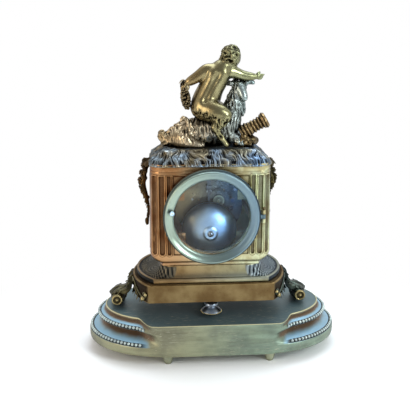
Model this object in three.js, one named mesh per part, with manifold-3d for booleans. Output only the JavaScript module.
// Mantel clock with a figure group, on a giltwood plinth.
// Millimetres, +Z up, resting on z = 0. The glazed back door is at -Y and the dial is at +Y.
import * as THREE from "three";
import { mergeVertices } from "three/addons/utils/BufferGeometryUtils.js";
import Module from "manifold-3d";

const wasm = await Module();
wasm.setup();

// Clearances between neighbouring pieces
const seat = 0.3; // between pieces that rest on each other
const running = 0.25; // round a pivot, radially
const weld = 0.0005; // points closer than this are one point

// Plinth
const plinthFootHeight = 14;
const plinthFootTopRadius = 9;
const plinthFootTipRadius = 4.5;
const backFootX = [-59, 66]; // the two back pegs aren't placed evenly
const frontFootX = [-62, 62];
const plinthFootY = 64;
const plinthHeight = 40;
const plinthHalfDepth = 78;
const plinthFlatHalf = 62; // half length of the flat back panel
const clockShift = -5; // the clock stands a little left of the plinth's middle
const plinthEndReach = 96; // how far each round end runs out past the flat panel
const plinthFrontShare = 0.75; // depth of the mouldings across the front, as a share of the ends'
// Mouldings of the ends from the bottom up: depth in from the outline, height over the bottom
const plinthMouldings = [
  [1.5, 0],
  [0, 2.5],
  [0, 10.5],
  [2.5, 12.5],
  [3.5, 14.5],
  [10, 17],
  [18, 21],
  [21.5, 25],
  [12, 27.5],
  [11.5, 29.8],
  [18.5, 33],
  [22.5, 35],
  [21, 38.4],
  [22, 40],
];

// Bronze block, slab and cavetto
const blockGap = 18; // free height between plinth and block
const blockHeight = 23;
const blockHalfLength = 76;
const blockHalfDepth = 54;
const blockBow = 20;
const blockWall = 4;
const grooveHeight = 2; // shadow line between block and slab
const grooveDepth = 2.2;
const slabHalfLength = 69;
const slabHalfDepth = 51;
const slabBow = 22;
const slabHeight = 6;
const slabRim = 3;
const cavettoHeight = 14;

// Scroll feet and turned pendant
const voluteRadius = 9.5; // of the roll at its middle
const voluteEndRadius = 6.3;
const voluteWidth = 36;
const voluteReach = 19.5; // axis of the roll out from the end of the block
const scrollWidth = 24;
const scrollCrestRise = 3; // crest over the top of the block
const pendantRadius = 12.5;
const pendantNeckRadius = 5;
const pendantInset = 4; // axis behind the block's back face

// Case
const caseHeight = 124;
const caseHalfWidth = 73.4; // at the bottom
const caseTaper = 2.2; // how much nearer to the middle each side is at the top
const caseHalfDepth = 46;
const caseCornerRadius = 17;
const caseWall = 5;
const caseBottomInset = 13;
const caseBottomRing = 4;
const caseCurveHeight = 10;
const caseBandHeight = 12;
const panelInset = 27; // edge of the sunk panel, in from the side of the case
const panelDepth = 1;
const fluteDepth = 1.6;
const fluteInsets = [23.7, 15.2, 6.4]; // axes of the flutes, in from the side of the case
const fluteWidths = [3.5, 6.5, 6];
const doorwayRadius = 48;
const doorRise = 63.5; // centre of the doors over the bottom of the case
const coverHeight = 15;
const coverOverhang = 0.2;
const bandProud = 0.3; // how far the top band stands out of the walls
const coverTopInsetX = 17;
const coverTopInsetY = 12;

// Glazed doors, alike on both sides
const ringInnerRadius = 45;
const ringOuterRadius = 56;
const ringDepth = 8;
const doorOverlap = 1; // how far a door's rim stands past its fixed ring
const doorRadius = ringOuterRadius + doorOverlap;
const doorDepth = 9.7;
const doorSightRadius = 45;
const glassRadius = 47;
const glassThickness = 1.6;
const hingeOffset = 3.6; // hinge line outside the door's rim
const hingePinRadius = 1.1;
const knuckleRadius = 2.4;
const knuckleHeight = 5;
const knobRadius = 3;

// Movement, set out from the centre arbor; depths are distances in front of the back plate's outer face
const plateRadius = 42;
const backPlateThickness = 2.5;
const frontPlateThickness = 2.5;
const plateGap = 34;
const movementSetback = 47.5; // back plate's outer face behind the front of the case
const movementBack = caseHalfDepth - movementSetback;
const pillarRadius = 3;
const arborRadius = 0.9;
const barrelRadius = 16;
const barrelX = 19;
const windingRadius = 2.1;
const greatTeeth = 36;
const secondTeeth = 28;
const centreTeeth = 33;
const thirdTeeth = 27;
const escapeTeeth = 24;
const escapeRadius = 8;
const pinTeeth = 24;
const leaves = 6; // of the small pinions
const centreLeaves = 7;
const greatModule = 0.9685;
const secondModule = 0.8011;
const fineModule = 0.6667;
const secondX = 12.2;
const wheelThickness = 1.6;
const pinCount = 6; // lifting pins of the pin wheel
const cannonTeeth = 9;
const minuteTeeth = 27;
const minuteLeaves = 7;
const hourTeeth = 28;
const pinDirection = 20; // degrees, from the strike's second wheel to the pin wheel
const flyDirection = 127; // degrees, from the pin wheel to the fly

// Dial and hands
const dialRadius = 43.8;
const dialThickness = 1.5;
const minuteHandLength = 37;
const hourHandLength = 25;
const handThickness = 0.8;

// Pendulum, bell and hammer
const bobRadius = 15;
const bobThickness = 6.4;
const bobDrop = 70; // below the pendulum's pivot
const pendulumOffset = 8.1; // behind the back plate
const pendulumY = movementBack - pendulumOffset;
const bellRadius = 34;
const bellDepth = 22;
const bellWall = 1.5;
const bellDrop = 26.5; // centre of the bell below the centre arbor
const bellOffset = 12.5; // mouth of the bell behind the back plate
const bellMouthY = movementBack - bellOffset;
const hammerHeadRadius = 3;
const hammerGap = 0.8;

// Bolt through case, block and plinth
const boltRadius = 2.5;
const boltY = 24;

// Heights that follow from the sizes above
const plinthTop = plinthFootHeight + plinthHeight;
const blockBottom = plinthTop + blockGap;
const blockTop = blockBottom + blockHeight;
const slabBottom = blockTop + grooveHeight + seat;
const slabTop = slabBottom + slabHeight;
const caseBottom = slabTop + cavettoHeight + seat;
const caseTop = caseBottom + caseHeight;
const coverBottom = caseTop + seat;
const coverTop = coverBottom + coverHeight;
const doorZ = caseBottom + doorRise;
const coverHalfX = caseHalfWidth - caseTaper + coverOverhang;
const coverHalfY = caseHalfDepth + coverOverhang;

const vec = (x, y, z) => new THREE.Vector3(x, y, z);
const mix = (a, b, t) => a + (b - a) * t;
const ease = (t) => {
  const s = Math.min(1, Math.max(0, t));
  return s * s * (3 - 2 * s);
};

// Closed meshes and their joins and cuts

function signedVolume(positions, index) {
  const a = new THREE.Vector3();
  const b = new THREE.Vector3();
  const c = new THREE.Vector3();
  let sum = 0;
  for (let i = 0; i < index.length; i += 3) {
    a.fromBufferAttribute(positions, index[i]);
    b.fromBufferAttribute(positions, index[i + 1]);
    c.fromBufferAttribute(positions, index[i + 2]);
    sum += a.dot(b.cross(c));
  }
  return sum;
}

// Shares the points of equal place, drops flat triangles at poles and turns the faces outwards.
function closed(geometry) {
  const plain = new THREE.BufferGeometry();
  const loose = geometry.index ? geometry.toNonIndexed() : geometry;
  plain.setAttribute("position", loose.getAttribute("position").clone());
  const shared = mergeVertices(plain, weld);
  const source = shared.index.array;
  const index = [];
  for (let i = 0; i < source.length; i += 3) {
    const [a, b, c] = [source[i], source[i + 1], source[i + 2]];
    if (a !== b && b !== c && c !== a) index.push(a, b, c);
  }
  if (signedVolume(shared.getAttribute("position"), index) < 0) index.reverse();
  shared.setIndex(index);
  return shared;
}

function toSolid(geometry) {
  const shape = closed(geometry);
  const vertProperties = Float32Array.from(shape.getAttribute("position").array);
  const triVerts = Uint32Array.from(shape.index.array);
  return new wasm.Manifold(new wasm.Mesh({ numProp: 3, vertProperties, triVerts }));
}

function fromSolid(solid) {
  const mesh = solid.getMesh();
  const geometry = new THREE.BufferGeometry();
  geometry.setAttribute("position", new THREE.BufferAttribute(Float32Array.from(mesh.vertProperties), 3));
  geometry.setIndex(Array.from(mesh.triVerts));
  return geometry;
}

function join(...geometries) {
  return fromSolid(geometries.map(toSolid).reduce((whole, piece) => whole.add(piece)));
}

function cut(geometry, ...tools) {
  return fromSolid(tools.map(toSolid).reduce((whole, tool) => whole.subtract(tool), toSolid(geometry)));
}

function mirrored(geometry, axis) {
  const scale = { x: [-1, 1, 1], y: [1, -1, 1] }[axis];
  return closed(geometry.clone().scale(...scale));
}

// Basic forms

// A turned form about the Y axis through (x, z). Its profile lists radius and y.
function turned(profile, segments, x = 0, z = 0) {
  const points = profile.map(([radius, y]) => new THREE.Vector2(radius, y));
  return new THREE.LatheGeometry(points, segments).translate(x, 0, z);
}

// A turned form about the Z axis through (x, y). Its profile lists radius and z.
function turnedUp(profile, segments, x = 0, y = 0) {
  const points = profile.map(([radius, z]) => new THREE.Vector2(radius, z));
  return new THREE.LatheGeometry(points, segments).rotateX(Math.PI / 2).translate(x, y, 0);
}

function rodAlongY(radius, y0, y1, x, z, segments = 8) {
  return turned([[0, y0], [radius, y0], [radius, y1], [0, y1]], segments, x, z);
}

function rodUp(radius, z0, z1, x, y, segments = 10) {
  return turnedUp([[0, z0], [radius, z0], [radius, z1], [0, z1]], segments, x, y);
}

function tubeAlongY(inner, outer, y0, y1, x, z, segments = 12) {
  return turned([[inner, y0], [outer, y0], [outer, y1], [inner, y1], [inner, y0]], segments, x, z);
}

function block(x0, x1, y0, y1, z0, z1) {
  const box = new THREE.BoxGeometry(x1 - x0, y1 - y0, z1 - z0);
  return box.translate((x0 + x1) / 2, (y0 + y1) / 2, (z0 + z1) / 2);
}

function ball(x, y, z, rx, ry = rx, rz = rx, around = 10, down = 7) {
  return new THREE.SphereGeometry(1, around, down).scale(rx, ry, rz).translate(x, y, z);
}

// A flat piece across the Y axis: its outline is drawn in x and z.
function plate(shape, y0, y1, curveSegments = 8) {
  const geometry = new THREE.ExtrudeGeometry(shape, { depth: y1 - y0, bevelEnabled: false, curveSegments });
  return geometry.rotateX(Math.PI / 2).translate(0, y1, 0);
}

function roundPath(path, x, z, radius, sides) {
  for (let i = 0; i < sides; i += 1) {
    const turn = (i / sides) * Math.PI * 2;
    const point = [x + radius * Math.cos(turn), z + radius * Math.sin(turn)];
    if (i === 0) path.moveTo(...point);
    else path.lineTo(...point);
  }
  return path;
}

function roundHole(shape, x, z, radius, sides = 6) {
  shape.holes.push(roundPath(new THREE.Path(), x, z, radius, sides));
}

// A skin over a stack of rings with equal numbers of points, closed by a fan at each end.
function loft(rings) {
  const count = rings[0].length;
  const points = rings.flat();
  const middle = (ring) => ring.reduce((sum, p) => sum.add(p), vec(0, 0, 0)).multiplyScalar(1 / count);
  const first = points.length;
  points.push(middle(rings[0]), middle(rings[rings.length - 1]));
  const index = [];
  for (let r = 0; r + 1 < rings.length; r += 1) {
    for (let i = 0; i < count; i += 1) {
      const a = r * count + i;
      const b = r * count + ((i + 1) % count);
      index.push(a, b, b + count, a, b + count, a + count);
    }
  }
  const top = (rings.length - 1) * count;
  for (let i = 0; i < count; i += 1) {
    const next = (i + 1) % count;
    index.push(first, next, i);
    index.push(first + 1, top + i, top + next);
  }
  const geometry = new THREE.BufferGeometry().setFromPoints(points);
  geometry.setIndex(index);
  return closed(geometry);
}

// A soft limb through stations of x, y, z and radius, with round ends.
function limb(stations, sides = 8, steps = 2, swell = 0) {
  const path = new THREE.CatmullRomCurve3(stations.map(([x, y, z]) => vec(x, y, z)), false, "centripetal");
  const spans = (stations.length - 1) * steps;
  const frames = path.computeFrenetFrames(spans * 4);
  const radiusAt = (t) => {
    const s = t * (stations.length - 1);
    const i = Math.min(stations.length - 2, Math.floor(s));
    return mix(stations[i][3], stations[i + 1][3], ease(s - i) * 0.5 + (s - i) * 0.5) + swell;
  };
  const ring = (t, scale, shift) => {
    const centre = path.getPoint(t);
    const frame = Math.round(t * spans * 4);
    centre.addScaledVector(frames.tangents[frame], shift * radiusAt(t));
    const around = [];
    for (let k = 0; k < sides; k += 1) {
      const angle = (k / sides) * Math.PI * 2;
      const p = centre.clone();
      p.addScaledVector(frames.normals[frame], Math.cos(angle) * radiusAt(t) * scale);
      p.addScaledVector(frames.binormals[frame], Math.sin(angle) * radiusAt(t) * scale);
      around.push(p);
    }
    return around;
  };
  const rings = [ring(0, 0.55, -0.75)];
  for (let s = 0; s <= spans; s += 1) rings.push(ring(s / spans, 1, 0));
  rings.push(ring(1, 0.55, 0.75));
  return loft(rings);
}

// Plan outlines, as rings of x and y

function roundedBoxDistance(x, y, halfX, halfY, radius) {
  const qx = Math.abs(x) - halfX + radius;
  const qy = Math.abs(y) - halfY + radius;
  return Math.hypot(Math.max(qx, 0), Math.max(qy, 0)) + Math.min(Math.max(qx, qy), 0) - radius;
}

// The point of a rounded rectangle that lies in a given direction from its centre
function roundedPoint(angle, halfX, halfY, radius) {
  let near = 0;
  let far = halfX + halfY;
  for (let i = 0; i < 40; i += 1) {
    const half = (near + far) / 2;
    const x = half * Math.cos(angle);
    const y = half * Math.sin(angle);
    if (roundedBoxDistance(x, y, halfX, halfY, radius) > 0) far = half;
    else near = half;
  }
  return [near * Math.cos(angle), near * Math.sin(angle)];
}

// Directions of the points of a rounded rectangle whose corners get most of the points
function roundedAngles(halfX, halfY, radius, perCorner) {
  const angles = [];
  const corners = [[1, -1, -90], [1, 1, 0], [-1, 1, 90], [-1, -1, 180]];
  for (const [sx, sy, start] of corners) {
    for (let i = 0; i <= perCorner; i += 1) {
      const turn = THREE.MathUtils.degToRad(start + (90 * i) / perCorner);
      const x = sx * (halfX - radius) + radius * Math.cos(turn);
      const y = sy * (halfY - radius) + radius * Math.sin(turn);
      angles.push(Math.atan2(y, x));
    }
  }
  return angles;
}

// A rectangle whose two ends are bowed outwards in a circular arc
function bowedOutline(halfX, halfY, bow, perEnd) {
  const radius = (halfY * halfY + bow * bow) / (2 * bow);
  const reach = Math.asin(halfY / radius);
  const centre = halfX + bow - radius;
  const points = [];
  for (const side of [1, -1]) {
    for (let i = 0; i <= perEnd; i += 1) {
      const turn = mix(-reach, reach, i / perEnd);
      points.push([side * (centre + radius * Math.cos(turn)), side * radius * Math.sin(turn)]);
    }
  }
  return points;
}

const ringAt = (outline, z) => outline.map(([x, y]) => vec(x, y, z));

// Plinth

function plinthOutline() {
  const points = [];
  const perEnd = 12;
  for (const side of [1, -1]) {
    for (let i = 0; i <= perEnd; i += 1) {
      const turn = mix(-Math.PI / 2, Math.PI / 2, i / perEnd);
      const x = side * (plinthFlatHalf + plinthEndReach * Math.cos(turn));
      const y = side * plinthHalfDepth * Math.sin(turn);
      const nx = (side * Math.cos(turn)) / plinthEndReach;
      const ny = (side * Math.sin(turn)) / plinthHalfDepth;
      const length = Math.hypot(nx, ny);
      const past = (Math.abs(x) - plinthFlatHalf) / (plinthEndReach * 0.4);
      const share = y < 0 ? ease(past) : mix(plinthFrontShare, 1, ease(past));
      points.push({ x, y, nx: nx / length, ny: ny / length, share });
    }
  }
  return points;
}

function makePlinth() {
  const outline = plinthOutline();
  const rings = plinthMouldings.map(([depth, height]) =>
    outline.map((p) => {
      const inset = depth * p.share;
      return vec(p.x - p.nx * inset, p.y - p.ny * inset, plinthFootHeight + height);
    }));
  const bore = rodUp(boltRadius + seat, 0, plinthTop + 5, clockShift, boltY);
  const recess = rodUp(boltRadius * 3, 0, plinthFootHeight + 6, clockShift, boltY, 12);
  return cut(loft(rings), bore, recess);
}

function makePlinthFoot(x, y) {
  const top = plinthFootHeight - seat;
  const profile = [[0, 0], [plinthFootTipRadius, 0], [plinthFootTopRadius - 1.5, top - 3],
    [plinthFootTopRadius, top], [0, top]];
  return turnedUp(profile, 10, x, y);
}

// Block, slab and cavetto

function bowedRings(levels) {
  const perEnd = 7;
  return levels.map(([inset, z]) =>
    ringAt(bowedOutline(blockHalfLength - inset, blockHalfDepth - inset, blockBow, perEnd), z));
}

function makeBaseBlock() {
  const body = loft(bowedRings([[0, blockBottom], [0, blockTop], [grooveDepth, blockTop],
    [grooveDepth, blockTop + grooveHeight]]));
  const hollow = loft(bowedRings([[blockWall, blockBottom - 5], [blockWall, blockTop - blockWall]]));
  return cut(body, hollow, rodUp(boltRadius + seat, blockBottom, slabTop, 0, boltY));
}

function makeCaseMoulding() {
  const perEnd = 8;
  const slab = (inset) => bowedOutline(slabHalfLength - inset, slabHalfDepth - inset, slabBow, perEnd);
  const start = slab(slabRim + 0.8);
  const halfX = caseHalfWidth - caseBottomInset + 1;
  const halfY = caseHalfDepth - 2;
  const neck = start.map(([x, y]) => roundedPoint(Math.atan2(y, x), halfX, halfY, caseCornerRadius));
  const rings = [ringAt(slab(0.6), slabBottom), ringAt(slab(0), slabBottom + 1), ringAt(slab(0), slabTop),
    ringAt(slab(slabRim), slabTop), ringAt(start, slabTop - 1)];
  const steps = 5;
  for (let i = 1; i <= steps; i += 1) {
    const turn = (i / steps) * (Math.PI / 2);
    const share = Math.sin(turn);
    const drawn = start.map(([x, y], k) => [mix(x, neck[k][0], share), mix(y, neck[k][1], share)]);
    rings.push(ringAt(drawn, slabTop - 1 + (cavettoHeight + 1) * (1 - Math.cos(turn))));
  }
  const hollow = block(-45, 45, -34, 34, slabBottom - 5, slabTop + cavettoHeight - blockWall);
  return cut(loft(rings), hollow, rodUp(boltRadius + seat, slabBottom, caseBottom + 5, 0, boltY));
}

// Scroll feet and pendant

// Outline of the S scroll seen from the side: u runs out from the block, z is the height.
function scrollOutline() {
  const crest = blockTop + scrollCrestRise;
  const outer = [[3, crest - 1], [5.2, crest - 6], [6.3, crest - 13], [6.8, crest - 19],
    [10, crest - 24], [18, crest - 27]];
  const inner = [[voluteReach, plinthTop + 6], [12, crest - 38], [6.5, crest - 33], [2, crest - 28],
    [0, crest - 20], [0, crest - 5]];
  const shape = new THREE.Shape();
  shape.moveTo(0.5, crest);
  shape.lineTo(...outer[0]);
  shape.splineThru(outer.slice(1).map(([u, z]) => new THREE.Vector2(u, z)));
  for (const [u, z] of inner) shape.lineTo(u, z);
  return shape;
}

// One wide scroll in the middle of each bowed end; its roll is fuller in the middle.
function makeScrollFoot(side) {
  const axisZ = plinthTop + seat + voluteRadius;
  const end = voluteWidth / 2;
  const roll = turned([[0, -end], [voluteEndRadius - 0.5, -end], [voluteEndRadius, -end + 0.8],
    [voluteRadius * 0.92, -end * 0.6], [voluteRadius, -end * 0.2], [voluteRadius, end * 0.2],
    [voluteRadius * 0.92, end * 0.6], [voluteEndRadius, end - 0.8], [voluteEndRadius - 0.5, end],
    [0, end]], 14, voluteReach, axisZ);
  const eye = rodAlongY(2.2, -end - 1, end + 1, voluteReach, axisZ, 8);
  const scroll = plate(scrollOutline(), -scrollWidth / 2, scrollWidth / 2, 2);
  const top = blockTop + scrollCrestRise;
  const leaf = limb([[1, 0, top - 4, 3.5], [3, 0, top - 14, 4.4], [9, 0, top - 24, 4], [17, 0, top - 25.5, 4],
    [24.5, 0, top - 29, 3.6]], 8, 1).scale(1, 2.6, 1);
  const whole = join(scroll, roll, eye, leaf).translate(blockHalfLength + blockBow, 0, 0);
  const clear = loft(bowedRings([[-seat, blockBottom - 30], [-seat, top + 10]]));
  const foot = cut(whole, clear, block(60, 160, -60, 60, plinthTop - 20, plinthTop + seat));
  return side < 0 ? mirrored(foot, "x") : foot;
}

function makePendant(side) {
  const bottom = plinthTop + seat;
  const top = blockBottom - seat;
  const profile = [[0, bottom], [3, bottom], [4.5, bottom + 2], [9, bottom + 4.2],
    [pendantRadius, bottom + 6.5],
    [pendantRadius, bottom + 7.8], [10, bottom + 9.5], [pendantNeckRadius + 1, bottom + 11.5],
    [pendantNeckRadius, bottom + 13.2], [8.2, bottom + 15], [8.2, top], [0, top]];
  return turnedUp(profile, 14, 0, side * (blockHalfDepth - pendantInset));
}

// Case body

function caseRing(inset, z) {
  const angles = roundedAngles(caseHalfWidth, caseHalfDepth, caseCornerRadius, 4);
  const halfX = caseHalfWidth - inset - (caseTaper * (z - caseBottom)) / caseHeight;
  const halfY = caseHalfDepth - inset * 0.25;
  return ringAt(angles.map((a) => roundedPoint(a, halfX, halfY, caseCornerRadius - inset * 0.3)), z);
}

function caseOuter(swell) {
  const curve = caseBottom + caseBottomRing;
  const rings = [caseRing(caseBottomInset - swell, caseBottom), caseRing(caseBottomInset - swell, curve)];
  const steps = 4;
  for (let i = 1; i <= steps; i += 1) {
    const turn = (i / steps) * (Math.PI / 2);
    const inset = (caseBottomInset - 1) * Math.cos(turn);
    rings.push(caseRing(inset - swell, curve + caseCurveHeight * Math.sin(turn)));
  }
  const band = caseTop - caseBandHeight;
  const proud = -bandProud - swell;
  rings.push(caseRing(-swell, band), caseRing(proud, band + 1), caseRing(proud, caseTop));
  return loft(rings);
}

// A round-ended groove on the back face; the front gets its mirror image.
function fluteTool(x, width) {
  const bottom = caseBottom + caseBottomRing + caseCurveHeight;
  const top = caseTop - caseBandHeight - 1;
  const half = width / 2;
  const past = Math.max(0, Math.abs(x) - (caseHalfWidth - caseCornerRadius));
  const fall = caseCornerRadius - Math.sqrt(caseCornerRadius ** 2 - past ** 2);
  const face = -caseHalfDepth + fall;
  const shape = new THREE.Shape();
  shape.absarc(x, bottom + half, half, Math.PI, Math.PI * 2, false);
  shape.lineTo(x + half, top);
  shape.lineTo(x - half, top);
  const lean = (caseTaper / caseHeight) * (past / Math.sqrt(caseCornerRadius ** 2 - past ** 2));
  const tool = plate(shape, face - 4, face + fluteDepth, 2);
  tool.applyMatrix4(new THREE.Matrix4().makeShear(0, 0, 0, 0, 0, lean));
  return tool.translate(0, -lean * caseBottom, 0);
}

function makeCaseBody() {
  const cavity = loft([caseRing(caseBottomInset + caseWall, caseBottom - 5),
    caseRing(caseBottomInset + caseWall, caseBottom + caseBottomRing),
    caseRing(caseWall * 2, caseBottom + caseBottomRing + caseCurveHeight),
    caseRing(caseWall * 2, caseTop - caseWall)]);
  const doorway = rodAlongY(doorwayRadius, -caseHalfDepth - 5, caseHalfDepth + 5, 0, doorZ, 32);
  const panelBottom = caseBottom + caseBottomRing + caseCurveHeight;
  const panelTop = caseTop - caseBandHeight;
  const panelHalfWidth = caseHalfWidth - panelInset;
  const back = [block(-panelHalfWidth, panelHalfWidth, -caseHalfDepth - 3, -caseHalfDepth + panelDepth,
    panelBottom, panelTop - 1)];
  fluteInsets.forEach((inset, i) => {
    const x = caseHalfWidth - inset;
    back.push(fluteTool(x, fluteWidths[i]), fluteTool(-x, fluteWidths[i]));
  });
  const front = back.map((tool) => mirrored(tool, "y"));
  const sideFace = caseHalfWidth - panelDepth;
  const sidePanel = block(sideFace, caseHalfWidth + 3, -24, 24, panelBottom + 4, panelTop - 5);
  const lean = -caseTaper / caseHeight;
  sidePanel.applyMatrix4(new THREE.Matrix4().makeShear(0, 0, 0, 0, lean, 0));
  sidePanel.translate(-lean * caseBottom, 0, 0);
  const hollow = cut(caseOuter(0), cavity, doorway, ...back, ...front, sidePanel, mirrored(sidePanel, "x"));
  const floor = block(-12, 12, boltY - 8, caseHalfDepth - 2, caseBottom, caseBottom + 4);
  const bolt = rodUp(boltRadius + seat, caseBottom - 5, caseBottom + 10, 0, boltY);
  return cut(join(hollow, floor), bolt);
}

// Rocky cover

function makeCaseCover() {
  const angles = roundedAngles(coverHalfX, coverHalfY, caseCornerRadius, 6);
  const levels = [[0, 0, 0], [0.5, 0.2, 0.8], [5, 0.42, 1.4], [9.5, 0.64, 2], [13.5, 0.84, 1.6]];
  const rings = levels.map(([inset, height, rough]) => angles.map((a, k) => {
    const share = inset / coverTopInsetX;
    const [x, y] = roundedPoint(a, coverHalfX - inset, coverHalfY - coverTopInsetY * share, caseCornerRadius);
    const bump = rough * Math.sin(k * 2.4 + height * 5);
    const out = 1 - (bump * 0.5 + 0.5 * rough) / Math.hypot(x, y);
    return vec(x * out, y * out, coverBottom + coverHeight * height);
  }));
  const topX = coverHalfX - coverTopInsetX;
  const topY = coverHalfY - coverTopInsetY;
  rings.push(angles.map((a) => {
    const [x, y] = roundedPoint(a, topX, topY, caseCornerRadius);
    return vec(x, y, coverTop);
  }));
  return loft(rings);
}

// Figure group. Each form can swell by a small distance, so that its neighbours are cut clear of it.

const ground = coverTop + seat; // where the group stands
const trimGround = () => block(-200, 200, -100, 100, coverTop - 60, ground);

function goatForm(swell) {
  const g = ground;
  const part = (stations, sides = 8, steps = 1) => limb(stations, sides, steps, swell);
  return [
    part([[-43, 2, g + 9, 10], [-29, 2, g + 13, 15], [-8, 2, g + 16, 17], [14, 2, g + 18, 16.5],
      [23, 2, g + 25, 15], [28, 2, g + 39, 12.2], [33, 2, g + 56, 9.2]], 10),
    part([[33, 2, g + 68, 8.2], [38, 1, g + 68, 8.8], [41, 0, g + 60, 6.2], [41.5, -1, g + 55, 4.4]], 8),
    part([[41, 0, g + 54, 3], [41, 0, g + 46, 2.4], [41, 0, g + 37, 1]], 5),
    part([[35, 3, g + 73, 2.6], [30, 5, g + 76, 2.4], [26, 7, g + 75, 1.6]], 5),
    part([[45, 3, g + 72, 2.6], [50, 4, g + 75, 2.4], [54, 5, g + 72, 1.4]], 5),
    part([[-38, 16, g + 9, 8], [-26, 17, g + 7, 8.5], [-10, 19, g + 4, 5.5], [-2, 20, g + 2.5, 3.6]], 6),
    part([[-38, -12, g + 9, 8], [-30, -14, g + 6, 8], [-20, -17, g + 3, 5], [-10, -19, g + 2, 3.4]], 6),
    part([[26, 10, g + 14, 6], [36, 15, g + 9, 4.6], [26, 19, g + 3.5, 3.6], [15, 20, g + 2.5, 3]], 6),
    part([[24, -7, g + 12, 6], [34, -13, g + 7, 4.4], [40, -19, g + 3, 3.2]], 6),
    part([[-48, 2, g + 10, 4.6], [-54, 1, g + 9, 4.8], [-56, 0, g + 14, 2.6]], 6),
    part([[-20, -9, g + 25, 3], [-27, -9, g + 31, 2.6], [-30, -9, g + 33, 1.5]], 5),
  ];
}

function childForm(swell) {
  const g = ground;
  const part = (stations, sides = 8, steps = 1) => limb(stations, sides, steps, swell);
  const leg = (side) => part([[-2, side * 8, g + 43, 12], [9, side * 15, g + 42, 10.5],
    [20, side * 19, g + 39.5, 7.8], [13, side * 21, g + 31, 5.8], [6, side * 21.5, g + 24, 4.2],
    [12, side * 22, g + 14, 3.5], [19, side * 22.5, g + 5.5, 3.6]], 6);
  return [
    part([[-5, 0, g + 46, 16], [-2, 0, g + 57, 15], [4, 0, g + 70, 14], [10, 0, g + 81, 14],
      [15, 0, g + 90, 11.5], [20, 0, g + 96, 7]], 10),
    part([[19, 0, g + 94, 6.6], [23, 0, g + 101, 6.2]], 8),
    part([[25.5, 0, g + 103.5, 11], [26.5, 0.5, g + 105.5, 12]], 10, 2),
    part([[5, -1, g + 88, 7], [-2, -2, g + 89, 6.6], [-12, -3, g + 82.5, 5.6], [-20, -3, g + 77, 4.6],
      [-26, -3, g + 74, 4]], 6),
    part([[22, 0, g + 87, 7], [30, 1, g + 86.5, 6.2], [38, 2, g + 83, 5.2], [46, 2, g + 81, 4.4],
      [56, 2, g + 81, 3.6], [61, 2, g + 81, 3.6], [66, 2, g + 80, 1.8]], 6),
    leg(-1),
    leg(1),
  ];
}

function makeGoat() {
  return cut(join(...goatForm(0)), trimGround());
}

function makeChild() {
  return cut(join(...childForm(0)), ...goatForm(seat), trimGround());
}

function makeGrapeBunch() {
  const g = ground;
  const bunch = limb([[-29.5, -3, g + 79, 2.4], [-29, -3.5, g + 72, 3.8], [-27, -4, g + 62, 5.4],
    [-25.5, -4, g + 54, 6], [-24.5, -3.5, g + 46, 3.8], [-24, -3, g + 41, 1.8]], 7, 1);
  return cut(bunch, ...childForm(seat), ...goatForm(seat));
}

function makeWickerHorn() {
  const g = ground;
  const start = vec(41, -5, g + 15);
  const end = vec(69, -6, g + 31);
  const profile = [[0, -3], [7.4, -3], [8.8, 1], [8.6, 8], [7.2, 11], [7.6, 13], [7, 20], [7.4, 25],
    [9.3, 28], [9.8, 30.5], [8.8, 32.8], [6.8, 33], [5.4, 29], [0, 28]];
  const points = profile.map(([radius, along]) => new THREE.Vector2(radius, along));
  const horn = new THREE.LatheGeometry(points, 10);
  const direction = end.clone().sub(start).normalize();
  horn.applyQuaternion(new THREE.Quaternion().setFromUnitVectors(vec(0, 1, 0), direction));
  horn.translate(start.x, start.y, start.z);
  const fruit = [[45, -12, 6, 7.2], [51, -7, 6, 7], [37, -14, 5, 6], [50, 3, 7, 7]].map(([x, y, rise, r]) =>
    ball(x, y, g + rise, r, r, r, 6, 5));
  return cut(join(horn, ...fruit), ...goatForm(seat), ...childForm(seat), trimGround());
}

// Swags at the two sides

function makeGarland(stations) {
  const rope = limb(stations, 7, 1);
  const fruits = stations.slice(1, -2).map(([x, , z, r], i) =>
    ball(x + Math.sign(x) * r * 0.35, (i % 2 ? 1 : -1) * r * 0.55, z + 2, r * 0.8, r * 0.8, r * 0.8, 6, 5));
  const clear = loft(coverSkin(seat));
  return cut(join(rope, ...fruits), caseOuter(seat), clear);
}

function coverSkin(swell) {
  const halfX = coverHalfX + swell + 1;
  const halfY = coverHalfY + swell + 1;
  const angles = roundedAngles(halfX, halfY, caseCornerRadius, 7);
  const level = (insetX, z) => ringAt(angles.map((a) =>
    roundedPoint(a, halfX - insetX, halfY - insetX * 0.7, caseCornerRadius)), z);
  return [level(0, coverBottom - swell), level(0, coverBottom + coverHeight * 0.25),
    level(coverTopInsetX, coverTop + swell)];
}

// Glazed doors. They are drawn for the front, at +Y, and mirrored for the back.

const doorBack = caseHalfDepth + seat + ringDepth + seat; // y of the inner face of a door
const doorFacets = 26;
const hingeX = doorRadius + hingeOffset;
const hingeY = doorBack + 2;
const glassY = doorBack + 3.4;

function knuckle(z0, z1, y0, y1) {
  const arm = block(ringOuterRadius - 3, hingeX, y0, y1, z0, z1);
  const cheek = block(doorRadius + 2 * seat, hingeX, y0, hingeY, z0, z1);
  return join(arm, cheek, rodUp(knuckleRadius, z0, z1, hingeX, hingeY, 10));
}

const hingeBore = () => rodUp(hingePinRadius + running, doorZ - 20, doorZ + 20, hingeX, hingeY, 8);

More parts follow.
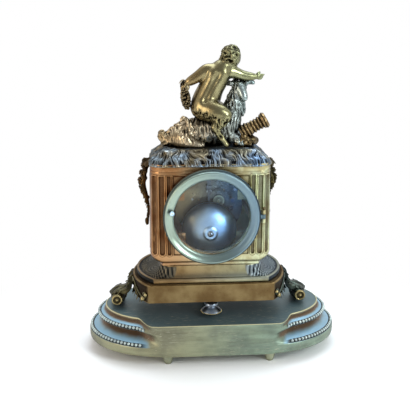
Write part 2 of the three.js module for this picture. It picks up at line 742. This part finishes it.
function makeFixedRing(withStraps) {
  const y0 = caseHalfDepth + seat;
  const y1 = y0 + ringDepth;
  const profile = [[ringInnerRadius, y0], [ringOuterRadius, y0], [ringOuterRadius, y1 - 1],
    [ringOuterRadius - 1, y1], [ringInnerRadius + 2, y1], [ringInnerRadius, y1 - 2], [ringInnerRadius, y0]];
  const half = knuckleHeight / 2 + running;
  const outer = half + knuckleHeight;
  const lugs = [[half, outer], [-outer, -half]].map(([z0, z1]) =>
    knuckle(doorZ + z0, doorZ + z1, y1 - 3, y1));
  const pieces = [turned(profile, doorFacets, 0, doorZ), ...lugs];
  if (withStraps) {
    const strapX = ringInnerRadius + 0.5;
    const strap = block(strapX - 1, strapX + 1, -caseHalfDepth, y0 + 2, doorZ - 4, doorZ + 4);
    pieces.push(strap, mirrored(strap, "x"));
    pieces.push(turned([[dialRadius - 1.8, y0], [ringInnerRadius + 1, y0], [ringInnerRadius + 1, y0 + 1.2],
      [dialRadius - 1.8, y0 + 1.2], [dialRadius - 1.8, y0]], doorFacets, 0, doorZ));
  }
  return cut(join(...pieces), hingeBore());
}

function makeDoorFrame() {
  const y0 = doorBack;
  const y1 = doorBack + doorDepth;
  const rebate = glassY + glassThickness / 2 + seat;
  const profile = [[glassRadius + seat, y0], [doorRadius, y0], [doorRadius, y0 + 5.5],
    [doorRadius - 1.7, y0 + 6.3], [doorRadius - 1.9, y1 - 1.2], [doorRadius - 3.4, y1],
    [doorSightRadius + 1.5, y1 - 3.4], [doorSightRadius, rebate + 0.8], [doorSightRadius, rebate],
    [glassRadius + seat, rebate], [glassRadius + seat, y0]];
  const half = knuckleHeight / 2;
  const middle = knuckle(doorZ - half, doorZ + half, y0, y0 + 4);
  const swing = cut(middle, rodAlongY(doorRadius - 2, 0, 90, 0, doorZ, doorFacets));
  return cut(join(turned(profile, doorFacets, 0, doorZ), swing), hingeBore());
}

function makeGlass() {
  const half = glassThickness / 2;
  return rodAlongY(glassRadius, glassY - half, glassY + half, 0, doorZ, doorFacets);
}

function makeHingePin() {
  const half = knuckleHeight * 1.5 + 1;
  const z0 = doorZ - half;
  const z1 = doorZ + half + 0.6;
  const profile = [[0, z0], [hingePinRadius, z0], [hingePinRadius, z1], [hingePinRadius + 0.8, z1],
    [hingePinRadius + 0.8, z1 + 1.4], [0, z1 + 2]];
  return turnedUp(profile, 8, hingeX, hingeY);
}

function makeDoorKnob() {
  const face = -(doorBack + doorDepth - 3.2);
  const x = -46.5;
  const z = doorZ + 8;
  const stem = rodAlongY(1.2, face - 6, face - 1.6, x, z, 8);
  return join(stem, ball(x, face - 6, z, knobRadius, knobRadius, knobRadius, 8, 6));
}

// Gears. Both wheels and pinions have pointed teeth, and a pinion's leaves stand a little apart.

const addendum = 0.85;
const dedendum = 1.1;

function wheelShape(teeth, size, phase, centre, spokes = false) {
  const pitch = (teeth * size) / 2;
  const shape = new THREE.Shape();
  for (let i = 0; i < teeth; i += 1) {
    const turn = phase + (i / teeth) * Math.PI * 2;
    const next = turn + Math.PI / teeth;
    const tip = pitch + addendum * size;
    const root = pitch - dedendum * size;
    const x = centre[0] + tip * Math.cos(turn);
    const z = centre[1] + tip * Math.sin(turn);
    if (i === 0) shape.moveTo(x, z);
    else shape.lineTo(x, z);
    shape.lineTo(centre[0] + root * Math.cos(next), centre[1] + root * Math.sin(next));
  }
  if (spokes) crossings(shape, centre, pitch * 0.3, pitch - dedendum * size - 1.6);
  return shape;
}

// Four openings that leave four arms between hub and rim
function crossings(shape, centre, inner, outer) {
  const armHalf = 0.9;
  for (let i = 0; i < 4; i += 1) {
    const start = (i * Math.PI) / 2;
    const corner = (radius, from) => {
      const trim = Math.asin(armHalf / radius);
      const turn = from === 0 ? start + trim : start + Math.PI / 2 - trim;
      return [centre[0] + radius * Math.cos(turn), centre[1] + radius * Math.sin(turn)];
    };
    const hole = new THREE.Path();
    hole.moveTo(...corner(inner, 0));
    hole.lineTo(...corner(outer, 0));
    const bulge = start + Math.PI / 4;
    hole.lineTo(centre[0] + outer * Math.cos(bulge), centre[1] + outer * Math.sin(bulge));
    hole.lineTo(...corner(outer, 1));
    hole.lineTo(...corner(inner, 1));
    hole.closePath();
    shape.holes.push(hole);
  }
}

function pinionShape(teeth, size, phase, centre) {
  const pitch = (teeth * size) / 2;
  const tip = pitch + addendum * 0.8 * size;
  const root = pitch - dedendum * size;
  const rootHalf = (0.26 * Math.PI * 2) / teeth;
  const shape = new THREE.Shape();
  for (let i = 0; i < teeth; i += 1) {
    const turn = phase + (i / teeth) * Math.PI * 2;
    const corners = [[root, -rootHalf], [tip, 0], [root, rootHalf]];
    corners.forEach(([radius, shift], k) => {
      const x = centre[0] + radius * Math.cos(turn + shift);
      const z = centre[1] + radius * Math.sin(turn + shift);
      if (i === 0 && k === 0) shape.moveTo(x, z);
      else shape.lineTo(x, z);
    });
  }
  return shape;
}

// Movement layout, in x and z from the centre arbor

const plateBack = movementBack;
const plateFront = movementBack + backPlateThickness; // inner face of the back plate
const frontInner = plateFront + plateGap; // inner face of the front plate
const frontOuter = frontInner + frontPlateThickness;
const at = (dx, dz) => [dx, doorZ + dz];
const centreAt = at(0, 0);
const secondReach = ((secondTeeth + centreLeaves) * secondModule) / 2;
const secondRise = Math.sqrt(secondReach ** 2 - secondX ** 2);
const greatReach = ((greatTeeth + leaves) * greatModule) / 2;
const barrelDrop = Math.sqrt(greatReach ** 2 - (barrelX - secondX) ** 2) - secondRise;
const barrelAt = { going: at(-barrelX, -barrelDrop), strike: at(barrelX, -barrelDrop) };
const secondAt = { going: at(-secondX, secondRise), strike: at(secondX, secondRise) };
const thirdAt = at(0, ((centreTeeth + leaves) * fineModule) / 2);
const escapeAt = at(0, ((centreTeeth + leaves + thirdTeeth + leaves) * fineModule) / 2);
const palletAt = [0, escapeAt[1] + 12];
// The point at a given reach from another, in a given direction in degrees
const swung = ([x, z], reach, degrees) => {
  const turn = THREE.MathUtils.degToRad(degrees);
  return [x + reach * Math.cos(turn), z + reach * Math.sin(turn)];
};
const pinAt = swung(secondAt.strike, ((secondTeeth + leaves) * secondModule) / 2, pinDirection);
const flyAt = swung(pinAt, ((pinTeeth + leaves) * fineModule) / 2, flyDirection);
const minuteAt = at(0, -((cannonTeeth + minuteTeeth) * fineModule) / 2);
const hourModule = ((cannonTeeth + minuteTeeth) * fineModule) / (minuteLeaves + hourTeeth);
const pillarsAt = [at(-8, -36.5), at(8, -36.5), at(-24, 29), at(24, 29)];
const hammerAt = at(28, 10);
const bellAt = at(0, -bellDrop);
const studAt = at(27, -26);

const aim = (from, to) => Math.atan2(to[1] - from[1], to[0] - from[0]);
// Phase of a driven pinion or wheel whose gap faces its mate
const gapPhase = (from, to, teeth) => aim(from, to) + Math.PI / teeth;

function arbor(centre, y0 = plateBack + 0.3, y1 = frontOuter - 0.3) {
  return rodAlongY(arborRadius, y0, y1, centre[0], centre[1], 6);
}

function makePlate(y0, y1, holes) {
  const shape = roundPath(new THREE.Shape(), 0, doorZ, plateRadius, 32);
  for (const [centre, radius] of holes) roundHole(shape, centre[0], centre[1], radius, radius > 2 ? 10 : 6);
  return plate(shape, y0, y1);
}

const pivotHole = arborRadius + running;
const windingHole = windingRadius + running;

function makeBackPlate() {
  const pivots = [centreAt, secondAt.going, thirdAt, escapeAt, palletAt, secondAt.strike, pinAt,
    flyAt, hammerAt];
  const holes = pivots.map((centre) => [centre, pivotHole]);
  holes.push([barrelAt.going, windingHole], [barrelAt.strike, windingHole]);
  return makePlate(plateBack, plateFront, holes);
}

function makeFrontPlate() {
  const pivots = [centreAt, secondAt.going, thirdAt, escapeAt, palletAt, secondAt.strike, pinAt, flyAt];
  const holes = pivots.map((centre) => [centre, pivotHole]);
  holes.push([barrelAt.going, windingHole], [barrelAt.strike, windingHole]);
  const pillars = pillarsAt.map(([x, z]) =>
    rodAlongY(pillarRadius, plateFront + seat, frontInner + 1, x, z, 8));
  const stud = rodAlongY(1, frontOuter - 1, frontOuter + 5.6, minuteAt[0], minuteAt[1], 8);
  return join(makePlate(frontInner, frontOuter, holes), ...pillars, stud);
}

const barrelClearance = 3; // between a barrel's drum and the front plate
const greatY = plateFront + 8;
const secondY = plateFront + 4.2;
const strikeSecondY = frontInner - 2.2;
const centreY = plateFront + 1;
const thirdY = plateFront + 13;
const escapeY = plateFront + 19;
const countWheelY = plateBack - 2;
const overlapY = 0.3; // how far each pinion reaches past its wheel

function makeBarrel(centre, phase) {
  const shape = wheelShape(greatTeeth, greatModule, phase, centre);
  const wheel = plate(shape, greatY, greatY + 2);
  const drum = rodAlongY(barrelRadius, greatY + 1, frontInner - barrelClearance, centre[0], centre[1], 20);
  return cut(join(wheel, drum), rodAlongY(windingHole, 0, 60, centre[0], centre[1], 12));
}

function makeWindingArbor(centre) {
  const rod = rodAlongY(windingRadius, plateBack + 0.3, frontOuter + 3, centre[0], centre[1], 12);
  const square = block(-1.4, 1.4, frontOuter + 2, caseHalfDepth + 2, -1.4, 1.4);
  square.translate(centre[0], 0, centre[1]);
  return join(rod, square);
}

// An arbor with one wheel and one pinion on it
function wheelAndPinion(centre, wheel, pinion, back) {
  const shape = wheelShape(wheel.teeth, wheel.size, wheel.phase, centre, wheel.spokes);
  const disc = plate(shape, wheel.y, wheel.y + wheelThickness);
  const rod = plate(pinionShape(pinion.teeth, pinion.size, pinion.phase, centre), pinion.y0, pinion.y1, 4);
  return join(arbor(centre, back), disc, rod);
}

const phases = (() => {
  const great = { going: aim(barrelAt.going, secondAt.going), strike: aim(barrelAt.strike, secondAt.strike) };
  const second = { going: aim(secondAt.going, centreAt), strike: aim(secondAt.strike, pinAt) };
  const centre = aim(centreAt, thirdAt);
  const third = aim(thirdAt, escapeAt);
  const pin = aim(pinAt, flyAt);
  return { great, second, centre, third, pin };
})();

const leavesFacing = (from, to) => gapPhase(from, to, leaves);

function makeGoingSecond() {
  return wheelAndPinion(secondAt.going,
    { teeth: secondTeeth, size: secondModule, phase: phases.second.going, y: secondY },
    { teeth: leaves, size: greatModule, phase: leavesFacing(secondAt.going, barrelAt.going),
      y0: greatY - overlapY, y1: greatY + 2 + overlapY });
}

function makeStrikeSecond() {
  return wheelAndPinion(secondAt.strike,
    { teeth: secondTeeth, size: secondModule, phase: phases.second.strike, y: strikeSecondY },
    { teeth: leaves, size: greatModule, phase: leavesFacing(secondAt.strike, barrelAt.strike),
      y0: greatY - overlapY, y1: greatY + 2 + overlapY },
    countWheelY - 4.5);
}

function makeCentreWheel() {
  const wheel = wheelAndPinion(centreAt,
    { teeth: centreTeeth, size: fineModule, phase: phases.centre, y: centreY, spokes: true },
    { teeth: centreLeaves, size: secondModule, phase: gapPhase(centreAt, secondAt.going, centreLeaves),
      y0: secondY - overlapY, y1: secondY + wheelThickness + overlapY });
  return join(wheel, rodAlongY(arborRadius, frontInner, handY + 3.4, centreAt[0], centreAt[1], 6));
}

function makeThirdWheel() {
  return wheelAndPinion(thirdAt,
    { teeth: thirdTeeth, size: fineModule, phase: phases.third, y: thirdY },
    { teeth: leaves, size: fineModule, phase: leavesFacing(thirdAt, centreAt),
      y0: centreY - overlapY, y1: centreY + wheelThickness + overlapY });
}

function makeEscapeWheel() {
  const shape = new THREE.Shape();
  for (let i = 0; i < escapeTeeth; i += 1) {
    const turn = (i / escapeTeeth) * Math.PI * 2;
    const root = turn + (Math.PI / escapeTeeth) * 0.7;
    const tip = [escapeRadius * Math.cos(turn), escapeRadius * Math.sin(turn)];
    if (i === 0) shape.moveTo(tip[0], escapeAt[1] + tip[1]);
    else shape.lineTo(tip[0], escapeAt[1] + tip[1]);
    shape.lineTo((escapeRadius - 1.4) * Math.cos(root), escapeAt[1] + (escapeRadius - 1.4) * Math.sin(root));
  }
  const pinion = pinionShape(leaves, fineModule, leavesFacing(escapeAt, thirdAt), escapeAt);
  return join(arbor(escapeAt), plate(shape, escapeY, escapeY + 1.5, 4),
    plate(pinion, thirdY - 1, thirdY + wheelThickness + 1, 4));
}

function makePallets() {
  const inner = escapeRadius + 1.6;
  const outer = inner + 1.9;
  const spread = THREE.MathUtils.degToRad(52);
  const shape = new THREE.Shape();
  shape.absarc(escapeAt[0], escapeAt[1], outer, Math.PI / 2 - spread, Math.PI / 2 + spread, false);
  shape.absarc(escapeAt[0], escapeAt[1], inner, Math.PI / 2 + spread, Math.PI / 2 - spread, true);
  const anchor = plate(shape, escapeY, escapeY + 1.6, 8);
  const hub = rodAlongY(2.2, escapeY - 1, escapeY + 2.6, palletAt[0], palletAt[1], 10);
  const crutchY = plateBack - 4.6;
  const staff = arbor(palletAt, crutchY);
  const z = palletAt[1];
  const crutch = block(-1.2, 1.2, crutchY - 0.6, crutchY + 0.6, z - 16, z + 1.5);
  const bar = block(-3.2, 3.2, crutchY - 0.6, crutchY + 0.6, z - 17, z - 14.5);
  const prong = block(2, 3.2, pendulumY - 2, crutchY, z - 17, z - 14.5);
  return join(staff, hub, anchor, crutch, bar, prong, mirrored(prong, "x"));
}

function makeSuspensionCock() {
  const z = palletAt[1];
  const top = doorZ + plateRadius;
  const foot = block(-5, 5, pendulumY - 3, plateBack - seat, z + 2.4, top);
  const slit = block(-2.5, 2.5, pendulumY - 5, pendulumY + 1, z, z + 3.6);
  const screws = [-3.2, 3.2].map((x) => rodAlongY(1.2, pendulumY - 3.8, pendulumY - 2, x, z + 4.2, 8));
  return join(cut(foot, slit), ...screws);
}

function makePendulumRod() {
  const z = palletAt[1];
  const bobZ = z - bobDrop;
  const strip = block(-2.2, 2.2, pendulumY - 0.25, pendulumY + 0.25, z - 13, z + 3.2);
  const clamp = block(-3.4, 3.4, pendulumY - 1, pendulumY + 1, z - 13, z - 9);
  const rod = block(-1.2, 1.2, pendulumY - 0.8, pendulumY + 0.8, bobZ - bobRadius - 2, z - 12);
  const thread = rodUp(1, bobZ - bobRadius - 9, bobZ - bobRadius - 1, 0, pendulumY, 8);
  return join(strip, clamp, rod, thread);
}

function makePendulumBob() {
  const z = palletAt[1] - bobDrop;
  const half = bobThickness / 2;
  const profile = [[0, -half], [bobRadius * 0.5, -half * 0.86], [bobRadius * 0.88, -half * 0.4],
    [bobRadius, 0],
    [bobRadius * 0.88, half * 0.4], [bobRadius * 0.5, half * 0.86], [0, half]];
  const lens = turned(profile.map(([r, y]) => [r, y + pendulumY]), 16, 0, z);
  return cut(lens, block(-1.2 - seat, 1.2 + seat, pendulumY - 1.1, pendulumY + 1.1, z - 30, z + 30));
}

function makeRatingNut() {
  const z = palletAt[1] - bobDrop - bobRadius - 2;
  const bore = 1 + running;
  const profile = [[bore, z - 4], [3.6, z - 4], [3.6, z - seat], [bore, z - seat], [bore, z - 4]];
  return turnedUp(profile, 10, 0, pendulumY);
}

function makeCountWheel() {
  const centre = secondAt.strike;
  const shape = new THREE.Shape();
  const rim = 14;
  const notches = [0, 1, 3, 6, 10, 15, 21, 28, 36, 45, 55, 66, 78];
  const steps = 90; // twelve hours and twelve half hours in one turn
  const edge = [];
  for (let i = 0; i < 12; i += 1) {
    const mark = notches[i] + i;
    const next = notches[i + 1] + i + 1;
    const stretch = Math.max(1, Math.round((next - mark) / 9));
    edge.push([rim - 1.6, mark], [rim - 1.6, mark + 0.9]);
    for (let k = 0; k <= stretch; k += 1) edge.push([rim, mix(mark + 0.9, next, k / stretch)]);
  }
  edge.forEach(([radius, step], i) => {
    const turn = (step / steps) * Math.PI * 2;
    const point = [centre[0] + radius * Math.cos(turn), centre[1] + radius * Math.sin(turn)];
    if (i === 0) shape.moveTo(...point);
    else shape.lineTo(...point);
  });
  roundHole(shape, centre[0], centre[1], arborRadius + seat);
  const y = countWheelY;
  const disc = plate(shape, y - 1.5, y);
  const bore = arborRadius + seat;
  const hub = turned([[bore, y - 3.2], [5.6, y - 3.2], [7, y - 2.4], [7, y - 1], [bore, y - 1],
    [bore, y - 3.2]], 12, centre[0], centre[1]);
  return join(disc, cut(hub, rodAlongY(bore, -20, 20, centre[0], centre[1], 8)));
}

function makePinWheel() {
  const pinion = { teeth: leaves, size: secondModule, phase: leavesFacing(pinAt, secondAt.strike),
    y0: strikeSecondY - overlapY, y1: strikeSecondY + wheelThickness + overlapY };
  const wheel = wheelAndPinion(pinAt,
    { teeth: pinTeeth, size: fineModule, phase: phases.pin, y: centreY, spokes: true }, pinion);
  const pins = Array.from({ length: pinCount }, (unused, i) => {
    const turn = (i / pinCount) * Math.PI * 2 + 0.2;
    const [x, z] = [pinAt[0] + 6.1 * Math.cos(turn), pinAt[1] + 6.1 * Math.sin(turn)];
    return rodAlongY(0.5, centreY + 1, centreY + 4, x, z, 4);
  });
  return join(wheel, ...pins);
}

function makeFly() {
  const pinion = pinionShape(leaves, fineModule, leavesFacing(flyAt, pinAt), flyAt);
  const blade = block(-5.5, 5.5, thirdY, thirdY + 14, -0.35, 0.35).rotateY(0.6);
  blade.translate(flyAt[0], 0, flyAt[1]);
  return join(arbor(flyAt), plate(pinion, centreY - overlapY, centreY + wheelThickness + overlapY, 4), blade);
}

// Bell and hammer

function makeBell() {
  const lip = bellMouthY;
  const apex = bellMouthY - bellDepth;
  const outer = [[bellRadius, lip], [bellRadius - 0.4, lip - 5], [bellRadius - 4, lip - 12],
    [bellRadius - 12, lip - 17.5], [9, apex + 0.8], [6.6, apex - 1], [1.6, apex - 1.6]];
  const inner = [[1.6, apex + 1.2], [9, apex + 2.4], [bellRadius - 12.6, lip - 16],
    [bellRadius - 5.2, lip - 11], [bellRadius - bellWall, lip]];
  const profile = [...outer, ...inner, outer[0]];
  return turned(profile, 20, bellAt[0], bellAt[1]);
}

function makeBellStand() {
  const strapY = bellMouthY - 4;
  const shoulder = bellMouthY - bellDepth + 1.2 + seat;
  const stud = rodAlongY(2.5, strapY, plateBack - seat, studAt[0], studAt[1], 10);
  const dx = studAt[0] - bellAt[0];
  const dz = studAt[1] - bellAt[1];
  const length = Math.hypot(dx, dz);
  const strap = block(-3, length + 1.5, strapY - 2, strapY, -3, 3).rotateY(-Math.atan2(dz, dx));
  strap.translate(bellAt[0], 0, bellAt[1]);
  const post = rodAlongY(2.4, shoulder, strapY - 1, bellAt[0], bellAt[1], 10);
  const tip = rodAlongY(1.2, shoulder - 7, shoulder + 1, bellAt[0], bellAt[1], 8);
  return join(stud, strap, post, tip);
}

function makeBellNut() {
  const y0 = bellMouthY - bellDepth - 1.6 - seat;
  const bore = 1.2 + running;
  const profile = [[bore, y0], [3.2, y0], [3.2, y0 - 1.8], [2.4, y0 - 2.8], [bore, y0 - 2.8], [bore, y0]];
  return turned(profile, 12, bellAt[0], bellAt[1]);
}

function makeHammer() {
  const direction = vec(26.4, 0, 27).normalize();
  const reach = bellRadius + hammerGap + hammerHeadRadius;
  const head = [bellAt[0] + direction.x * reach, bellAt[1] + direction.z * reach];
  const y = bellMouthY - 3;
  const staff = rodAlongY(arborRadius, y - 1.5, plateFront - 0.3, hammerAt[0], hammerAt[1], 8);
  const boss = rodAlongY(2.6, y - 1.6, y + 1.6, hammerAt[0], hammerAt[1], 10);
  const arm = limb([[hammerAt[0], y, hammerAt[1], 1.1], [hammerAt[0] + 2, y, hammerAt[1] - 7, 1],
    [head[0], y, head[1], 1.2]], 6, 2);
  const r = hammerHeadRadius;
  return join(staff, boss, arm, ball(head[0], y, head[1], r, r, r, 8, 6));
}

// Motion work, dial and hands

const motionY = frontOuter + 0.8;
const dialY = caseHalfDepth - dialThickness;
const handY = dialY + dialThickness + 3;
const cannonBore = arborRadius + running;
const cannonRadius = 1.9;
const hourBore = cannonRadius + running;
const hourPipe = 3.3;
const pipeTop = handY + handThickness;

function makeCannonPinion() {
  const phase = gapPhase(centreAt, minuteAt, cannonTeeth);
  const shape = pinionShape(cannonTeeth, fineModule, phase, centreAt);
  roundHole(shape, centreAt[0], centreAt[1], cannonBore);
  const pinion = plate(shape, motionY, motionY + wheelThickness + overlapY, 4);
  const pipe = tubeAlongY(cannonBore, cannonRadius, motionY + 1, pipeTop + 0.6, centreAt[0], centreAt[1], 10);
  return cut(join(pinion, pipe), rodAlongY(cannonBore, 0, 80, centreAt[0], centreAt[1], 10));
}

function makeMinuteWheel() {
  const bore = 1 + running;
  const wheelPhase = aim(minuteAt, centreAt);
  const shape = wheelShape(minuteTeeth, fineModule, wheelPhase, minuteAt);
  roundHole(shape, minuteAt[0], minuteAt[1], bore);
  const leafPhase = gapPhase(minuteAt, centreAt, minuteLeaves);
  const pinion = pinionShape(minuteLeaves, hourModule, leafPhase, minuteAt);
  roundHole(pinion, minuteAt[0], minuteAt[1], bore);
  return join(plate(shape, motionY, motionY + wheelThickness, 3),
    plate(pinion, motionY + 1, motionY + 2 * wheelThickness + 1, 3));
}

function makeHourWheel() {
  const y = motionY + wheelThickness + 0.9;
  const shape = wheelShape(hourTeeth, hourModule, aim(centreAt, minuteAt), centreAt);
  roundHole(shape, centreAt[0], centreAt[1], hourBore);
  const [x, z] = centreAt;
  const pipe = tubeAlongY(hourBore, hourPipe, y + 0.5, pipeTop - handThickness + 0.2, x, z, 12);
  return cut(join(plate(shape, y, y + 1.2, 4), pipe), rodAlongY(hourBore, 0, 80, x, z, 12));
}

function makeDial() {
  const shape = roundPath(new THREE.Shape(), 0, doorZ, dialRadius, 40);
  roundHole(shape, 0, doorZ, hourPipe + 0.8, 12);
  roundHole(shape, ...barrelAt.going, windingRadius + 1, 10);
  roundHole(shape, ...barrelAt.strike, windingRadius + 1, 10);
  const face = plate(shape, dialY, dialY + dialThickness);
  const feet = [[-34, 12], [34, 12], [0, 37]].map(([dx, dz]) =>
    rodAlongY(1.4, frontOuter + seat, dialY + 0.5, dx, doorZ + dz, 6));
  return join(face, ...feet);
}

// A pierced hand with a ring near its tip; it points up before it is turned.
function handGeometry(length, hubRadius, bore, y0, turn) {
  const ring = length * 0.62;
  const half = 0.9;
  const pointer = new THREE.Shape();
  pointer.moveTo(-half, 0);
  pointer.lineTo(half, 0);
  pointer.lineTo(half * 0.6, length * 0.86);
  pointer.lineTo(0, length);
  pointer.lineTo(-half * 0.6, length * 0.86);
  const loop = tubeAlongY(2.2, 3.6, y0, y0 + handThickness, 0, ring, 10);
  const hub = rodAlongY(hubRadius, y0, y0 + handThickness, 0, 0, 12);
  const blade = cut(plate(pointer, y0, y0 + handThickness), rodAlongY(2.4, 0, 90, 0, ring, 10));
  const whole = cut(join(blade, loop, hub), rodAlongY(bore, 0, 90, 0, 0, 10));
  return whole.rotateY(turn).translate(0, 0, doorZ);
}

const minuteTurn = THREE.MathUtils.degToRad(-54); // about ten past, seen from the front
const hourTurn = THREE.MathUtils.degToRad(55);

function makeMinuteHand() {
  return handGeometry(minuteHandLength, 3.6, cannonBore, pipeTop + 0.6 + seat, minuteTurn);
}

function makeHourHand() {
  return handGeometry(hourHandLength, 5.2, hourBore, handY + 0.3, hourTurn);
}

// Bolt

function makeTieRod() {
  const headBottom = caseBottom + 4 + seat;
  const rod = rodUp(boltRadius, plinthFootHeight + 0.5, headBottom + 1, 0, boltY, 12);
  const head = rodUp(boltRadius * 2, headBottom, headBottom + 3.4, 0, boltY, 6);
  const nut = rodUp(boltRadius * 2, plinthFootHeight + 1.2, plinthFootHeight + 6 - seat, 0, boltY, 6);
  return join(rod, head, nut);
}

// Materials

function finish(color, metalness, roughness) {
  return new THREE.MeshStandardMaterial({ color, metalness, roughness });
}
const giltWood = () => finish(0x7a6a3c, 0.35, 0.6);
const bronze = () => finish(0xa9772f, 0.9, 0.4);
const figureBronze = () => finish(0x6d5a2c, 0.9, 0.38);
const stainedBronze = () => finish(0x8a6536, 0.85, 0.5);
const paleBrass = () => finish(0xa6a78e, 0.9, 0.35);
const brass = () => finish(0x8c8450, 0.9, 0.4);
const steel = () => finish(0x6f7884, 0.95, 0.3);
const bellMetal = () => finish(0x8593a8, 0.95, 0.25);
const enamel = () => finish(0xece6d6, 0, 0.25);
const blued = () => finish(0x1d2c4c, 0.9, 0.3);
const clear = () => {
  const material = finish(0xc8d4d8, 0, 0.05);
  material.transparent = true;
  material.opacity = 0.25;
  return material;
};

const clock = new THREE.Group();

function add(name, geometry, material) {
  const shape = closed(geometry);
  if (!name.startsWith("plinth")) shape.translate(clockShift, 0, 0);
  shape.computeVertexNormals();
  const mesh = new THREE.Mesh(shape, material);
  mesh.name = name;
  clock.add(mesh);
}

// Stations of the left swag: distance out from the side of the case, depth under the cover's top, radius
const leftSwag = [[-6, 10, 4.5], [3, 15, 6], [6.5, 25, 6.4], [8, 39, 5.8], [7.4, 53, 5.4], [5, 63, 4.6],
  [3.4, 74, 3.8], [3, 86, 3], [3.8, 95, 3.6], [3.4, 100, 2]]
  .map(([out, drop, r]) => [-caseHalfWidth - out, 0, coverTop - drop, r]);
const rightSwag = leftSwag.map(([x, y, z, r]) =>
  [-x * 0.985, y, coverTop - 4 - (coverTop - z) * 0.85, r * 0.9]);

add("plinth", makePlinth(), giltWood());
backFootX.forEach((x, i) => add(`plinth_foot_${i + 1}`, makePlinthFoot(x, -plinthFootY), giltWood()));
frontFootX.forEach((x, i) => add(`plinth_foot_${i + 3}`, makePlinthFoot(x, plinthFootY), giltWood()));
add("base_block", makeBaseBlock(), stainedBronze());
add("case_moulding", makeCaseMoulding(), bronze());
add("scroll_foot_left", makeScrollFoot(-1), figureBronze());
add("scroll_foot_right", makeScrollFoot(1), figureBronze());
add("back_pendant", makePendant(-1), bronze());
add("front_pendant", makePendant(1), bronze());
add("case_body", makeCaseBody(), bronze());
add("case_cover", makeCaseCover(), figureBronze());
add("goat", makeGoat(), figureBronze());
add("faun_child", makeChild(), figureBronze());
add("grape_bunch", makeGrapeBunch(), figureBronze());
add("wicker_horn", makeWickerHorn(), figureBronze());
add("garland_left", makeGarland(leftSwag), figureBronze());
add("garland_right", makeGarland(rightSwag), figureBronze());
add("case_tie_rod", makeTieRod(), steel());
add("back_ring", mirrored(makeFixedRing(false), "y"), paleBrass());
add("back_door_frame", mirrored(makeDoorFrame(), "y"), paleBrass());
add("back_glass", mirrored(makeGlass(), "y"), clear());
add("back_hinge_pin", mirrored(makeHingePin(), "y"), steel());
add("back_door_knob", makeDoorKnob(), steel());
add("front_ring", makeFixedRing(true), brass());
add("front_bezel", makeDoorFrame(), brass());
add("front_glass", makeGlass(), clear());
add("front_hinge_pin", makeHingePin(), steel());
add("back_plate", makeBackPlate(), brass());
add("front_plate", makeFrontPlate(), brass());
for (const train of ["going", "strike"]) {
  add(`${train}_barrel`, makeBarrel(barrelAt[train], phases.great[train]), brass());
  add(`${train}_winding_arbor`, makeWindingArbor(barrelAt[train]), steel());
}
add("going_second_wheel", makeGoingSecond(), brass());
add("centre_wheel", makeCentreWheel(), brass());
add("third_wheel", makeThirdWheel(), brass());
add("escape_wheel", makeEscapeWheel(), brass());
add("pallets", makePallets(), steel());
add("suspension_cock", makeSuspensionCock(), brass());
add("pendulum_rod", makePendulumRod(), steel());
add("pendulum_bob", makePendulumBob(), brass());
add("rating_nut", makeRatingNut(), brass());
add("strike_second_wheel", makeStrikeSecond(), brass());
add("count_wheel", makeCountWheel(), enamel());
add("pin_wheel", makePinWheel(), brass());
add("fly", makeFly(), brass());
add("bell", makeBell(), bellMetal());
add("bell_stand", makeBellStand(), steel());
add("bell_nut", makeBellNut(), steel());
add("hammer", makeHammer(), blued());
add("cannon_pinion", makeCannonPinion(), brass());
add("minute_wheel", makeMinuteWheel(), brass());
add("hour_wheel", makeHourWheel(), brass());
add("dial", makeDial(), enamel());
add("minute_hand", makeMinuteHand(), blued());
add("hour_hand", makeHourHand(), blued());

export default clock;
